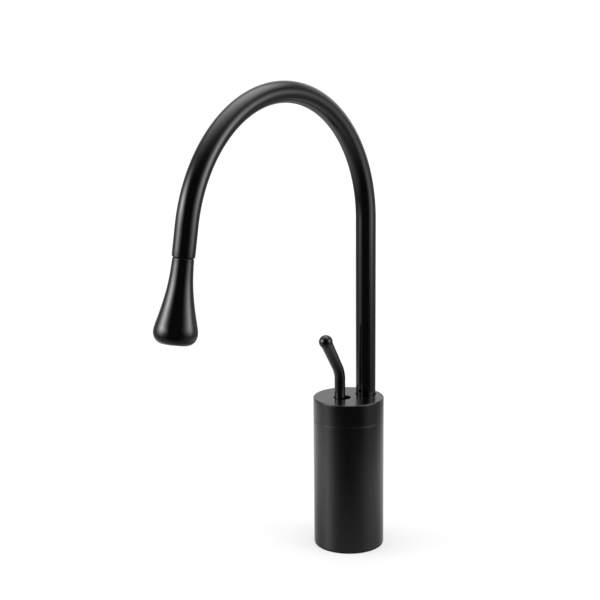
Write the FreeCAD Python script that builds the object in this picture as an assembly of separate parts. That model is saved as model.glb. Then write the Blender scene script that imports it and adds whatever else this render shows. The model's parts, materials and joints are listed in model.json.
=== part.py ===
import FreeCAD, Part
import math
import os

V = FreeCAD.Vector

# Gooseneck mixer with a joystick lever. Millimetres, +Z up, origin on the underside at the column's axis.
# The front is -Y, where the lever leans; the riser of the spout stands behind the lever, at +Y.

# Column
body_d = 50.0
sleeve_wall = 1.2
sleeve_gap = 0.1
gasket_t = 1.0
gasket_inset = 0.4
joint_z = 92.8
cap_h = 16.0
edge_break = 0.3
bearing_gap = 0.05

# Top cap
cap_plate_t = 3.0
cap_wall = 3.0
cap_edge_r = 0.7
cap_spigot_l = 2.85
lever_hole_r = 6.17
lever_hole_shift = 1.8
riser_hole_gap = 0.55
grub_r = 1.5
grub_up = 6.2
grub_boss_w = 6.4
grub_boss_t = 3.6
grub_boss_in = 1.15
grub_boss_top = 1.1

# Waterway core
deck_drop = 3.0
block_h = 30.8
core_back_wall = 1.4
core_front_wall = 3.3
bore_web = 0.3
leg_x = 7.5
leg_y = -8.5
leg_r = 6.5
leg_up = 2.0
leg_bore_r = 4.0
inlet_thread_r = 5.0
inlet_thread_l = 12.0
post_inset = 6.634
post_angle = 31.83
post_r = 4.0
seat_drop = 19.8
nut_thread_l = 4.8
outlet_port_r = 2.4
outlet_port_off = 4.0
inlet_port_r = 1.6
inlet_port_off = 4.9
inlet_port_angle = 55.0
inlet_drill_r = 1.8
cross_drop = 5.0
cross_r = 2.5
well_r = 5.0

# Foot
plate_t = 6.0
stud_inset = 12.7
stud_r = 4.0
stud_boss_r = 7.0
stud_boss_h = 6.0
foot_screw_r = 1.95
foot_screw_l = 16.0
foot_head_r = 3.5
foot_head_h = 3.2
foot_head_up = 0.2
foot_screw_end = 1.6

# Cartridge
nut_wall = 2.55
nut_up = 1.7
notch_w = 2.4
notch_h = 1.3
shell_step = 0.85
shell_wall = 1.15
shoulder_drop = 3.8
shoulder_t = 1.8
neck_up = 6.7
neck_wall = 2.0
stop_h = 1.8
turn_limit = 40.0
tilt_limit = 15.0
lug_half = 12.0
base_t = 2.5
peg_r = 1.15
peg_l = 1.6
peg_inset = 2.65
peg_back = 2.6
seal_gap = 0.5
outlet_seal_w = 1.0
inlet_seal_w = 0.65
seal_t = 1.1
disc_gasket_t = 0.8
fixed_t = 2.6
slide_gap = 0.02
moving_t = 2.38
disc_off = 2.25
pocket_h = 1.2
pocket_rim = 1.5
pocket_back = 0.4
carrier_t = 3.2
carrier_cut = 1.3
ball_up = 2.0
ball_r = 1.9
socket_gap = 0.06
pivot_up = 8.0
pin_r = 1.5
rotor_up = 2.7
slot_play = 0.4

# Lever
shank_r = 1.5
stem_r = 3.6
eye_drop = 4.3
rod_r = 3.65
rod_up = 3.7
lever_stud_r = 2.0
lever_stud_l = 6.5
bend_up = 18.6
bend_r = 22.0
lever_reach = 11.5
tip_up = 42.4
arm_end_r = 4.1
tip_r = 4.35
dome_r = 7.4
dome_wall = 0.6

# Spout
spout_turn = 22.3
tube_r = 7.0
tube_wall = 1.0
spigot_drop = 20.8
spigot_bore_r = 4.5
ring_up = (5.1, 12.1)
ring_groove_h = 2.2
ring_groove_t = 1.4
ring_cord_r = 0.7
keep_groove_t = 1.1
keep_t = 1.2
keep_inset = 4.643
keep_front = 3.4
keep_lobe = 3.5
keep_screw_r = 1.45
keep_screw_l = 7.0
keep_head_r = 2.6
keep_head_h = 1.6
bush_wall = 0.8
bush_l = 4.9
tube_up = 3.2
pilot_l = 8.0
arch_z = 234.6
arch_r = 91.2
arch_deg = 169.1
tail_l = 18.5
end_plug_l = 10.0
end_thread_r = 5.0
end_thread_l = 9.5
end_bore_r = 3.8

# Nozzle and aerator
nozzle_gap = 0.6
nozzle_l = 51.2
nozzle_r = 13.25
nozzle_bore_r = 4.4
throat_l = 4.5
throat_r = 7.3
mouth_lip = 0.35
aerator_l = 15.2
aerator_wall = 1.6
aerator_drop = 0.3
aerator_edge_r = 0.5
key_w = 2.4
key_h = 1.0
washer_w = 2.2
washer_t = 1.75
jet_r = 0.7
jet_ring_in = 4.2
jet_l = 5.0
jet_floor = 1.4
comb_l = 3.0
cell = 1.45
cell_pitch = 1.9

# Outline of the nozzle: share of its largest radius, share of its length
nozzle_outline = [
    (0.491, 0.0), (0.493, 0.051), (0.502, 0.099), (0.523, 0.192), (0.556, 0.285), (0.608, 0.381),
    (0.669, 0.472), (0.744, 0.567), (0.83, 0.66), (0.922, 0.755), (0.977, 0.814), (1.0, 0.864),
    (0.987, 0.905), (0.928, 0.947), (0.823, 0.982), (0.721, 1.0),
]

X = V(1, 0, 0)
Y = V(0, 1, 0)
Z = V(0, 0, 1)
FAR = 4 * (arch_z + arch_r)

# Column and foot, from the outside in
body_r = body_d / 2
cap_z1 = joint_z + cap_h
sleeve_in_r = body_r - sleeve_wall
core_r = sleeve_in_r - sleeve_gap
cap_in_r = body_r - cap_wall
gasket_r = body_r - gasket_inset
deck_z = joint_z - deck_drop
block_z0 = deck_z - block_h
seat_z = deck_z - seat_drop
plate_z0 = gasket_t
plate_z1 = plate_z0 + plate_t
leg_z0 = plate_z0 + leg_up
post_x = (core_r - post_inset) * math.cos(math.radians(post_angle))
post_y = (core_r - post_inset) * math.sin(math.radians(post_angle))
stud_y = core_r - stud_inset

# The riser's bush stands against the core's back wall, and the cartridge fills the room in front of it
bush_r = tube_r + bearing_gap + bush_wall
bush_seat_r = bush_r + bearing_gap
riser_y = core_r - core_back_wall - bush_seat_r
room_front = core_front_wall - core_r
room_back = riser_y - bush_seat_r - bore_web
nut_thread_r = (room_back - room_front) / 2
cart_y = (room_back + room_front) / 2
neck_r = nut_thread_r - nut_wall - 3 * bearing_gap
shell_r = nut_thread_r - shell_step
cavity_r = shell_r - shell_wall
rotor_r = neck_r - neck_wall - bearing_gap
disc_r = cavity_r - disc_off - 5 * bearing_gap
carrier_flat = disc_r - carrier_cut

# Heights of the cartridge, from its seat and from the deck
base_z0 = seat_z + 2 * bearing_gap
base_z1 = base_z0 + base_t
fixed_z0 = base_z1 + disc_gasket_t
moving_z0 = fixed_z0 + fixed_t + slide_gap
moving_z1 = moving_z0 + moving_t
ball_z = moving_z1 + ball_up
rail_z0 = moving_z1 + 4 * bearing_gap
flange_z0 = moving_z1 + carrier_t + 4 * bearing_gap
shoulder_z = deck_z - shoulder_drop
cavity_z1 = shoulder_z - shoulder_t
neck_z1 = deck_z + neck_up
pivot_z = deck_z + pivot_up
rotor_z1 = pivot_z + rotor_up
rod_z0 = pivot_z + rod_up
bend_z = cap_z1 + bend_up
tip_y = cart_y - lever_reach
tip_z = cap_z1 + tip_up

# Heights of the spout's foot
spigot_z0 = deck_z - spigot_drop
ring_z = [spigot_z0 + up for up in ring_up]
bush_z1 = deck_z - bearing_gap
bush_z0 = bush_z1 - bush_l
tube_z0 = joint_z + tube_up
keep_y = riser_y - keep_front
keep_x = math.sqrt((cap_in_r - keep_inset) ** 2 - keep_y ** 2)


def cyl(r, z0, z1, x=0.0, y=0.0):
    return Part.makeCylinder(r, z1 - z0, V(x, y, z0), Z)


def ring(r0, r1, z0, z1, x=0.0, y=0.0):
    return cyl(r1, z0, z1, x, y).cut(cyl(r0, z0 - 1, z1 + 1, x, y))


def box(x0, x1, y0, y1, z0, z1):
    return Part.makeBox(x1 - x0, y1 - y0, z1 - z0, V(x0, y0, z0))


def fuse(first, *others):
    return first.multiFuse(list(others)).removeSplitter()


def revolve(points, x=0.0, y=0.0):
    """Solid of revolution about the vertical line through (x, y), from an outline of (radius, height)."""
    wire = Part.makePolygon([V(x + r, y, z) for r, z in points + points[:1]])
    return Part.Face(wire).revolve(V(x, y, 0), Z, 360)


def sector(r, z0, z1, a0, a1, x=0.0, y=0.0):
    """Pie slice from angle a0 to a1, in degrees about the vertical line through (x, y)."""
    slice_ = Part.makeCylinder(r, z1 - z0, V(x, y, z0), Z, a1 - a0)
    slice_.rotate(V(x, y, 0), Z, a0)
    return slice_


def hexagon(flats, z0, z1, x=0.0, y=0.0):
    r = flats / math.sqrt(3)
    corners = [V(x + r * math.cos(k * math.pi / 3), y + r * math.sin(k * math.pi / 3), z0) for k in range(7)]
    return Part.Face(Part.makePolygon(corners)).extrude(V(0, 0, z1 - z0))


def inlet_port(side):
    a = math.radians(inlet_port_angle)
    return side * inlet_port_off * math.cos(a), cart_y - inlet_port_off * math.sin(a)


def rounded(shape, radius, pick):
    edges = [e for e in shape.Edges if pick(e)]
    return shape.makeFillet(radius, edges)


def broken(shape, size, pick):
    edges = [e for e in shape.Edges if pick(e)]
    return shape.makeChamfer(size, edges)


def at_circle(r, z):
    """Picks the circular edge of that radius at that height."""
    def pick(e):
        c = e.Curve
        return isinstance(c, Part.Circle) and abs(c.Radius - r) < 1e-4 and abs(c.Center.z - z) < 1e-4
    return pick


# Column sleeve, with small edge breaks that draw the joint line under the cap
sleeve = ring(sleeve_in_r, body_r, gasket_t, joint_z)
sleeve = broken(sleeve, edge_break, at_circle(body_r, joint_z))
body_sleeve = broken(sleeve, edge_break, at_circle(body_r, gasket_t))

# Top cap: plate, wall and a short spigot that enters the sleeve
cap = cyl(body_r, joint_z, cap_z1)
cap = rounded(cap, cap_edge_r, at_circle(body_r, cap_z1))
cap = broken(cap, edge_break, at_circle(body_r, joint_z))
cap = fuse(cap, cyl(core_r, joint_z - cap_spigot_l, joint_z))
cap = cap.cut(cyl(cap_in_r, 0, cap_z1 - cap_plate_t))
riser_hole_r = tube_r + riser_hole_gap
cap = cap.cut(cyl(riser_hole_r, 0, cap_z1 + 1, 0, riser_y))
cap = cap.cut(cyl(lever_hole_r, 0, cap_z1 + 1, 0, cart_y + lever_hole_shift))
cap = broken(cap, edge_break, at_circle(riser_hole_r, cap_z1))
cap = broken(cap, edge_break, at_circle(lever_hole_r, cap_z1))
grub_z = joint_z + grub_up
grub_hole = Part.makeCylinder(grub_r, cap_wall + 2, V(-body_r - 1, 0, grub_z), X)
top_cap = cap.cut(grub_hole)

# Grub screw through the cap's wall on to the core's boss, at -X
boss_x = grub_boss_in - cap_in_r
grub_x0 = 4 * bearing_gap - body_r
grub = Part.makeCylinder(grub_r - 0.03, boss_x - grub_x0 - 0.03, V(grub_x0, 0, grub_z), X)
socket = hexagon(grub_r, 0, grub_r)
socket.rotate(V(0, 0, 0), Y, 90)
socket.translate(V(grub_x0, 0, grub_z))
cap_grub_screw = grub.cut(socket)

# Waterway core: block, two inlet legs, two posts for the foot's screws and the cap's boss
block = cyl(core_r, block_z0, deck_z)
legs = [cyl(leg_r, leg_z0, block_z0 + 1, s * leg_x, leg_y) for s in (-1, 1)]
posts = [cyl(post_r, plate_z1, block_z0 + 1, s * post_x, post_y) for s in (-1, 1)]
boss_y = grub_boss_w / 2
boss = box(boss_x, boss_x + grub_boss_t, -boss_y, boss_y, deck_z - 1, grub_z + grub_r + grub_boss_top)
core = fuse(block, *legs, *posts, boss)
core = core.cut(cyl(shell_r + bearing_gap, seat_z, deck_z + 1, 0, cart_y))
core = core.cut(cyl(nut_thread_r, deck_z - nut_thread_l, deck_z + 1, 0, cart_y))
core = core.cut(cyl(tube_r + bearing_gap, spigot_z0 - 1, deck_z + 1, 0, riser_y))
core = core.cut(cyl(bush_seat_r, bush_z0 - bearing_gap, deck_z + 1, 0, riser_y))
cross_z = seat_z - cross_drop
core = core.cut(cyl(well_r, cross_z - cross_r, spigot_z0, 0, riser_y))
out_y = cart_y + outlet_port_off
leg_bore_top = block_z0 + 2
peg_x = shell_r - peg_inset
screw_z1 = plate_z0 + foot_head_up + foot_head_h + foot_screw_l
core = core.cut(Part.makeCylinder(cross_r, riser_y - out_y, V(0, out_y, cross_z), Y))
core = core.cut(Part.makeSphere(cross_r, V(0, out_y, cross_z)))
core = core.cut(cyl(outlet_port_r, cross_z, seat_z + 1, 0, out_y))
for s in (-1, 1):
    core = core.cut(cyl(leg_bore_r, leg_z0 - 1, leg_bore_top, s * leg_x, leg_y))
    core = core.cut(cyl(inlet_thread_r, leg_z0 - 1, leg_z0 + inlet_thread_l, s * leg_x, leg_y))
    px, py = inlet_port(s)
    foot = V(s * leg_x, leg_y, leg_bore_top - 2)
    way = V(px, py, seat_z) - foot
    drill = Part.makeCylinder(inlet_drill_r, way.Length * 1.06, foot, way)
    core = core.cut(drill)
    core = core.cut(cyl(foot_screw_r + bearing_gap, 0, screw_z1 + foot_screw_end, s * post_x, post_y))
    core = core.cut(cyl(peg_r + 0.1, seat_z - peg_l - 0.2, seat_z + 1, s * peg_x, cart_y + peg_back))
    keep_hole = cyl(keep_screw_r + bearing_gap, deck_z - keep_screw_l - 1, deck_z + 1, s * keep_x, keep_y)
    core = core.cut(keep_hole)
waterway_core = core

# Foot plate with the stud thread, its two screws, and the moulded foot gasket
plate = fuse(
    cyl(core_r, plate_z0, plate_z1),
    cyl(stud_boss_r, plate_z0, plate_z1 + stud_boss_h, 0, stud_y),
)
plate = plate.cut(cyl(stud_r, 0, FAR, 0, stud_y))
head_z0 = plate_z0 + foot_head_up
head_z1 = head_z0 + foot_head_h
for s in (-1, 1):
    plate = plate.cut(cyl(leg_r + 0.1, 0, FAR, s * leg_x, leg_y))
    plate = plate.cut(cyl(foot_screw_r + 0.25, 0, FAR, s * post_x, post_y))
    plate = plate.cut(cyl(foot_head_r + 0.2, 0, head_z1, s * post_x, post_y))
base_plate = plate


def foot_screw(side):
    body = fuse(
        cyl(foot_head_r, head_z0, head_z1, side * post_x, post_y),
        cyl(foot_screw_r, head_z0, screw_z1, side * post_x, post_y),
    )
    return body.cut(hexagon(1.5 * foot_screw_r, 0, head_z0 + 0.6 * foot_head_h, side * post_x, post_y))


base_screw_right = foot_screw(1)
base_screw_left = foot_screw(-1)

pad = cyl(gasket_r, 0, gasket_t)
pad = pad.cut(cyl(stud_r + 1.0, -1, FAR, 0, stud_y))
for s in (-1, 1):
    pad = pad.cut(cyl(leg_r + 0.1, -1, FAR, s * leg_x, leg_y))
    pad = pad.cut(cyl(foot_head_r + 0.5, -1, FAR, s * post_x, post_y))
base_gasket = pad

# Slip bush round the spigot and the fork that keeps the spout down, with its two screws
spout_bush = ring(tube_r + bearing_gap, bush_r, bush_z0, bush_z1, 0, riser_y)
fork_x = keep_x + keep_lobe
keep_z1 = deck_z + keep_t
fork = box(-fork_x, fork_x, keep_y - 1.2 * keep_lobe, riser_y + 1.3 * keep_lobe, deck_z, keep_z1)
fork = fork.common(cyl(cap_in_r - 0.3, 0, FAR))
fork = fork.cut(cyl(nut_thread_r + 0.35, 0, FAR, 0, cart_y))
keep_groove_r = tube_r - keep_groove_t
slot_r = keep_groove_r + bearing_gap
fork = fork.cut(cyl(slot_r, 0, FAR, 0, riser_y))
fork = fork.cut(box(-slot_r, slot_r, riser_y, FAR, 0, FAR))
for s in (-1, 1):
    fork = fork.cut(cyl(keep_screw_r + 0.15, 0, FAR, s * keep_x, keep_y))
spout_retainer = fork


def keep_screw(side):
    head = cyl(keep_head_r, keep_z1, keep_z1 + keep_head_h, side * keep_x, keep_y)
    body = fuse(head, cyl(keep_screw_r, keep_z1 - keep_screw_l, keep_z1 + 0.5, side * keep_x, keep_y))
    return body.cut(hexagon(1.4 * keep_screw_r, keep_z1 + 0.4 * keep_head_h, FAR, side * keep_x, keep_y))


retainer_screw_right = keep_screw(1)
retainer_screw_left = keep_screw(-1)

# Cartridge: base with three ports and their seals, disc gasket and fixed disc
ports = [(0, out_y, outlet_port_r), (*inlet_port(-1), inlet_port_r), (*inlet_port(1), inlet_port_r)]
seal_w = (outlet_seal_w, inlet_seal_w, inlet_seal_w)
cart = cyl(shell_r - bearing_gap, base_z0, base_z1, 0, cart_y)
for (px, py, pr), w in zip(ports, seal_w):
    cart = cart.cut(cyl(pr, 0, FAR, px, py))
    cart = cart.cut(ring(pr + seal_gap, pr + seal_gap + w, 0, base_z0 + seal_t, px, py))
pegs = [cyl(peg_r, seat_z - peg_l, base_z0 + 0.5, s * peg_x, cart_y + peg_back) for s in (-1, 1)]
cartridge_base = fuse(cart, *pegs)


def port_seal(k):
    px, py, pr = ports[k]
    r0 = pr + seal_gap + bearing_gap
    r1 = pr + seal_gap + seal_w[k] - bearing_gap
    return ring(r0, r1, seat_z + 0.02, base_z0 + seal_t - 0.1, px, py)


port_seal_mixed = port_seal(0)
port_seal_hot = port_seal(1)
port_seal_cold = port_seal(2)

gasket = cyl(cavity_r - 0.3, base_z1, fixed_z0, 0, cart_y)
stone = cyl(cavity_r - 0.1, fixed_z0, fixed_z0 + fixed_t, 0, cart_y)
for px, py, pr in ports:
    gasket = gasket.cut(cyl(pr + 0.2, 0, FAR, px, py))
    stone = stone.cut(cyl(pr, 0, FAR, px, py))
disc_gasket = gasket
fixed_disc = stone

# Cartridge housing: shell, shoulder under the nut, neck with the rotor's bearing and two turn stops
shell = fuse(
    cyl(shell_r, base_z1, shoulder_z, 0, cart_y),
    cyl(neck_r, shoulder_z - 1, neck_z1, 0, cart_y),
)
shell = shell.cut(cyl(cavity_r, 0, cavity_z1, 0, cart_y))
stop_half = turn_limit + lug_half + 0.5
stops = sector(neck_r, neck_z1 - 1, neck_z1 + stop_h, -90 + stop_half, 270 - stop_half, 0, cart_y)
shell = fuse(shell, stops)
cartridge_housing = shell.cut(cyl(rotor_r + bearing_gap, 0, FAR, 0, cart_y))

# Ring nut over the neck, with six spanner notches
nut_z1 = deck_z + nut_up
nut = ring(neck_r + 2 * bearing_gap, nut_thread_r - bearing_gap, shoulder_z, nut_z1, 0, cart_y)
for k in range(6):
    notch = box(neck_r - 1, nut_thread_r + 1, -notch_w / 2, notch_w / 2, nut_z1 - notch_h, FAR)
    notch.rotate(V(0, 0, 0), Z, 60 * k + 30)
    notch.translate(V(0, cart_y, 0))
    nut = nut.cut(notch)
cartridge_nut = nut

# Rotor: bearing, flange under the shoulder, two rails that guide the disc carrier, stop lug, stem slot
turn = fuse(
    cyl(rotor_r, flange_z0, rotor_z1, 0, cart_y),
    cyl(cavity_r - 0.2, rail_z0, cavity_z1 - 0.1, 0, cart_y),
    sector(neck_r - 0.2, neck_z1 + 0.1, neck_z1 + stop_h - 0.1, -90 - lug_half, -90 + lug_half, 0, cart_y),
)
rail_x = carrier_flat + bearing_gap
turn = turn.cut(box(-rail_x, rail_x, -FAR, FAR, rail_z0 - 1, flange_z0))


def leaned(r, height):
    """How far the stem reaches sideways at a height from the pivot, at the end of its tilt."""
    t = math.radians(tilt_limit)
    return height * math.tan(t) + r / math.cos(t) + slot_play


eye_z0 = pivot_z - eye_drop
step_z = eye_z0 - 1.5
shank_x = shank_r + slot_play
shank_y = leaned(shank_r, pivot_z - flange_z0)
stem_x = stem_r + 0.15
stem_y = leaned(stem_r, rotor_up)
turn = turn.cut(box(-shank_x, shank_x, cart_y - shank_y, cart_y + shank_x + 0.1, 0, step_z))
turn = turn.cut(box(-stem_x, stem_x, cart_y - stem_y, cart_y + stem_y, step_z, FAR))
pin_hole = Part.makeCylinder(pin_r + 0.01, 4 * rotor_r, V(-2 * rotor_r, cart_y, pivot_z), X)
rotor = turn.cut(pin_hole)
pin_x = rotor_r - 0.35
pivot_pin = Part.makeCylinder(pin_r, 2 * pin_x, V(-pin_x, cart_y, pivot_z), X)

# Moving disc with its mixing pocket, and the carrier that the stem's ball drives
carrier_y = cart_y + disc_off
disc = cyl(disc_r, moving_z0, moving_z1, 0, carrier_y)
pocket = cyl(disc_r - pocket_rim, moving_z0 - 1, moving_z0 + pocket_h, 0, carrier_y)
pocket = pocket.common(box(-FAR, FAR, cart_y + pocket_back, FAR, 0, FAR))
moving_disc = disc.cut(pocket)
carry = cyl(disc_r, moving_z1, moving_z1 + carrier_t, 0, carrier_y)
carry = carry.common(box(-carrier_flat, carrier_flat, -FAR, FAR, 0, FAR))
disc_carrier = carry.cut(cyl(ball_r + socket_gap, 0, FAR, 0, cart_y))

# Stem: ball in the carrier, pivot eye, and the stud that the lever screws on
lever_stud_z1 = rod_z0 + lever_stud_l
stem = fuse(
    Part.makeSphere(ball_r, V(0, cart_y, ball_z)),
    cyl(shank_r, ball_z, eye_z0 + 1, 0, cart_y),
    revolve([
        (0, eye_z0), (stem_r - 0.7, eye_z0), (stem_r, eye_z0 + 0.7), (stem_r, rod_z0),
        (lever_stud_r, rod_z0), (lever_stud_r, lever_stud_z1), (0, lever_stud_z1),
    ], 0, cart_y),
)
eye = Part.makeCylinder(pin_r + bearing_gap, 4 * stem_r, V(-2 * stem_r, cart_y, pivot_z), X)
lever_stem = stem.cut(eye)

# Lever: upright foot, smooth bend, tapered arm that leans forward, and a ball a little wider than its end
lean_y = tip_y - cart_y
lean = math.atan2(-lean_y, tip_z - bend_z)
half = bend_r * math.tan(lean / 2)
bend_z0 = bend_z - half
foot = cyl(rod_r, rod_z0, bend_z0, 0, cart_y)
elbow_face = Part.Face(Part.Wire(Part.makeCircle(rod_r, V(0, cart_y, bend_z0), Z)))
elbow = elbow_face.revolve(V(0, cart_y - bend_r, bend_z0), X, math.degrees(lean))
arm_dir = V(0, -math.sin(lean), math.cos(lean))
arm_0 = V(0, cart_y, bend_z) + arm_dir * half
arm_l = (V(0, tip_y, tip_z) - arm_0).Length
arm = Part.makeCone(rod_r, arm_end_r, arm_l, arm_0, arm_dir)
tip = Part.makeSphere(tip_r, V(0, tip_y, tip_z))
rod = fuse(foot, elbow, arm, tip)
lever_rod = rod.cut(cyl(lever_stud_r + bearing_gap, rod_z0 - 1, lever_stud_z1 + 0.2, 0, cart_y))

# Thin dome on the lever that hides the cartridge behind the lever's hole
dome = Part.makeSphere(dome_r, V(0, cart_y, pivot_z))
dome = dome.cut(Part.makeSphere(dome_r - dome_wall, V(0, cart_y, pivot_z)))
keep = Part.makeCone(0, 2 * dome_r, 2 * dome_r, V(0, cart_y, pivot_z), Z)
dust_dome = dome.common(keep).cut(cyl(rod_r + 0.03, 0, FAR, 0, cart_y))

# Spout, first in its own plane: riser on the Z axis, arch toward +X
pilot_r = tube_r - tube_wall - bearing_gap
spigot = fuse(cyl(tube_r, spigot_z0, tube_z0), cyl(pilot_r, tube_z0 - 1, tube_z0 + pilot_l))
spigot = spigot.cut(cyl(spigot_bore_r, 0, FAR))
for z in ring_z:
    groove = ring(tube_r - ring_groove_t, tube_r + 1, z - ring_groove_h / 2, z + ring_groove_h / 2)
    spigot = spigot.cut(groove)
spigot = spigot.cut(ring(keep_groove_r, tube_r + 1, deck_z - bearing_gap, keep_z1 + bearing_gap))
spout_spigot = broken(spigot, 2 * edge_break, at_circle(tube_r, spigot_z0))


def spigot_ring(z):
    return Part.makeTorus(tube_r + bearing_gap - 0.03 - ring_cord_r, ring_cord_r, V(0, 0, z), Z)


spigot_ring_lower = spigot_ring(ring_z[0])
spigot_ring_upper = spigot_ring(ring_z[1])

b = math.radians(arch_deg)
arch_mid = V(arch_r * (1 - math.cos(b / 2)), 0, arch_z + arch_r * math.sin(b / 2))
arch_end = V(arch_r * (1 - math.cos(b)), 0, arch_z + arch_r * math.sin(b))
tail = V(math.sin(b), 0, math.cos(b))
tube_end = arch_end + tail * tail_l
path = Part.Wire([
    Part.LineSegment(V(0, 0, tube_z0), V(0, 0, arch_z)).toShape(),
    Part.Arc(V(0, 0, arch_z), arch_mid, arch_end).toShape(),
    Part.LineSegment(arch_end, tube_end).toShape(),
])


def along_path(r):
    circle = Part.Wire(Part.makeCircle(r, V(0, 0, tube_z0), Z))
    return path.makePipeShell([circle], True, False)


spout_tube = along_path(tube_r).cut(along_path(tube_r - tube_wall))


def on_tail(shape):
    """Moves a shape drawn downstream along +Z to the tube's end."""
    shape.Placement = FreeCAD.Placement(tube_end, FreeCAD.Rotation(Z, tail)).multiply(shape.Placement)
    return shape


end = fuse(cyl(pilot_r, -end_plug_l, 0), cyl(end_thread_r, 0, end_thread_l))
end_adapter = on_tail(end.cut(cyl(end_bore_r, -FAR, FAR)))
nozzle_thread_r = end_thread_r + bearing_gap
nozzle_ring = on_tail(ring(nozzle_thread_r, tube_r - 0.9 * tube_wall, bearing_gap, nozzle_gap))

# Drop nozzle: smooth outline, thread for the tube's end, widening throat and the aerator's bore
outline = [(r * nozzle_r, nozzle_gap + t * (nozzle_l - nozzle_gap)) for r, t in nozzle_outline]
curve = Part.BSplineCurve()
curve.interpolate([V(r, 0, z) for r, z in outline])
side = curve.toShape()
first = V(outline[0][0], 0, outline[0][1])
last = V(outline[-1][0], 0, outline[-1][1])
rest = Part.makePolygon([last, V(0, 0, last.z), V(0, 0, first.z), first])
drop = Part.Face(Part.Wire([side] + rest.Edges)).revolve(V(0, 0, 0), Z, 360)
aerator_r = outline[-1][0] - mouth_lip
aerator_bore_r = aerator_r + bearing_gap
aerator_z0 = nozzle_l - aerator_l
thread_z1 = end_thread_l + 1
drop = drop.cut(cyl(nozzle_thread_r, -1, thread_z1))
hollow = revolve([
    (0, thread_z1), (nozzle_bore_r, thread_z1), (nozzle_bore_r, thread_z1 + throat_l), (throat_r, aerator_z0),
    (aerator_bore_r, aerator_z0), (aerator_bore_r, nozzle_l + 1), (0, nozzle_l + 1),
])
nozzle_shell = on_tail(drop.cut(hollow))

# Aerator: washer, housing with a stepped rim, core with twelve ways, honeycomb
washer_r = aerator_r - 0.1
washer_z0 = aerator_z0 + bearing_gap
aerator_washer = on_tail(ring(washer_r - washer_w, washer_r, washer_z0, washer_z0 + washer_t))
house_z0 = washer_z0 + washer_t + bearing_gap
house_z1 = nozzle_l + aerator_drop
house_in_r = aerator_r - aerator_wall
house = cyl(aerator_r, house_z0, house_z1)
house = rounded(house, aerator_edge_r, at_circle(aerator_r, house_z1))
house = house.cut(cyl(house_in_r, 0, FAR))
for k in range(4):
    key = box(aerator_r - 0.9, aerator_r + 1, -key_w / 2, key_w / 2, house_z1 - key_h, FAR)
    key.rotate(V(0, 0, 0), Z, 90 * k + 45)
    house = house.cut(key)
aerator_housing = on_tail(house)
jet_z0 = house_z0 + 1.0
jet_cup_r = house_in_r - 1.2
jet = cyl(house_in_r - bearing_gap, jet_z0, jet_z0 + jet_l)
jet = jet.cut(cyl(jet_cup_r, jet_z0 + jet_floor, FAR))
for k in range(12):
    a = math.radians(30 * k)
    jet_ring_r = aerator_r - jet_ring_in
    jet = jet.cut(cyl(jet_r, 0, FAR, jet_ring_r * math.cos(a), jet_ring_r * math.sin(a)))
aerator_core = on_tail(jet)
comb_z1 = house_z1 - 0.2
comb = cyl(house_in_r - bearing_gap, comb_z1 - comb_l, comb_z1)
for i in range(-4, 5):
    for j in range(-4, 5):
        hx = cell_pitch * (i + j / 2)
        hy = cell_pitch * j * math.sqrt(3) / 2
        if math.hypot(hx, hy) < jet_cup_r:
            comb = comb.cut(hexagon(cell, 0, FAR, hx, hy))
aerator_screen = on_tail(comb)


def swung(shape):
    """Turns a spout piece from its own plane to the rest pose and moves it to the riser's axis."""
    out = shape.copy()
    out.rotate(V(0, 0, 0), Z, spout_turn - 90)
    out.translate(V(0, riser_y, 0))
    return out


parts = {
    "body_sleeve": body_sleeve,
    "top_cap": top_cap,
    "cap_grub_screw": cap_grub_screw,
    "waterway_core": waterway_core,
    "base_plate": base_plate,
    "base_screw_left": base_screw_left,
    "base_screw_right": base_screw_right,
    "base_gasket": base_gasket,
    "spout_bush": spout_bush,
    "spout_retainer": spout_retainer,
    "retainer_screw_left": retainer_screw_left,
    "retainer_screw_right": retainer_screw_right,
    "cartridge_base": cartridge_base,
    "port_seal_mixed": port_seal_mixed,
    "port_seal_cold": port_seal_cold,
    "port_seal_hot": port_seal_hot,
    "disc_gasket": disc_gasket,
    "fixed_disc": fixed_disc,
    "cartridge_housing": cartridge_housing,
    "cartridge_nut": cartridge_nut,
    "rotor": rotor,
    "pivot_pin": pivot_pin,
    "moving_disc": moving_disc,
    "disc_carrier": disc_carrier,
    "lever_stem": lever_stem,
    "lever_rod": lever_rod,
    "dust_dome": dust_dome,
    "spout_spigot": swung(spout_spigot),
    "spigot_ring_lower": swung(spigot_ring_lower),
    "spigot_ring_upper": swung(spigot_ring_upper),
    "spout_tube": swung(spout_tube),
    "end_adapter": swung(end_adapter),
    "nozzle_ring": swung(nozzle_ring),
    "nozzle_shell": swung(nozzle_shell),
    "aerator_washer": swung(aerator_washer),
    "aerator_housing": swung(aerator_housing),
    "aerator_core": swung(aerator_core),
    "aerator_screen": swung(aerator_screen),
}

os.makedirs("parts", exist_ok=True)
for name, shape in parts.items():
    shape.exportStep("parts/" + name + ".step")
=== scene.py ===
"""Looks of a tall black gooseneck mixer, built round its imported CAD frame.

Each piece is a surface worked out with numpy, in metres, in the frame's own axes: +Z up, the lever leans
toward -Y, and the riser of the spout stands at +Y.
"""

import json
from typing import NamedTuple

import bmesh
import bpy
import numpy as np
from mathutils import Matrix, Vector


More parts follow.
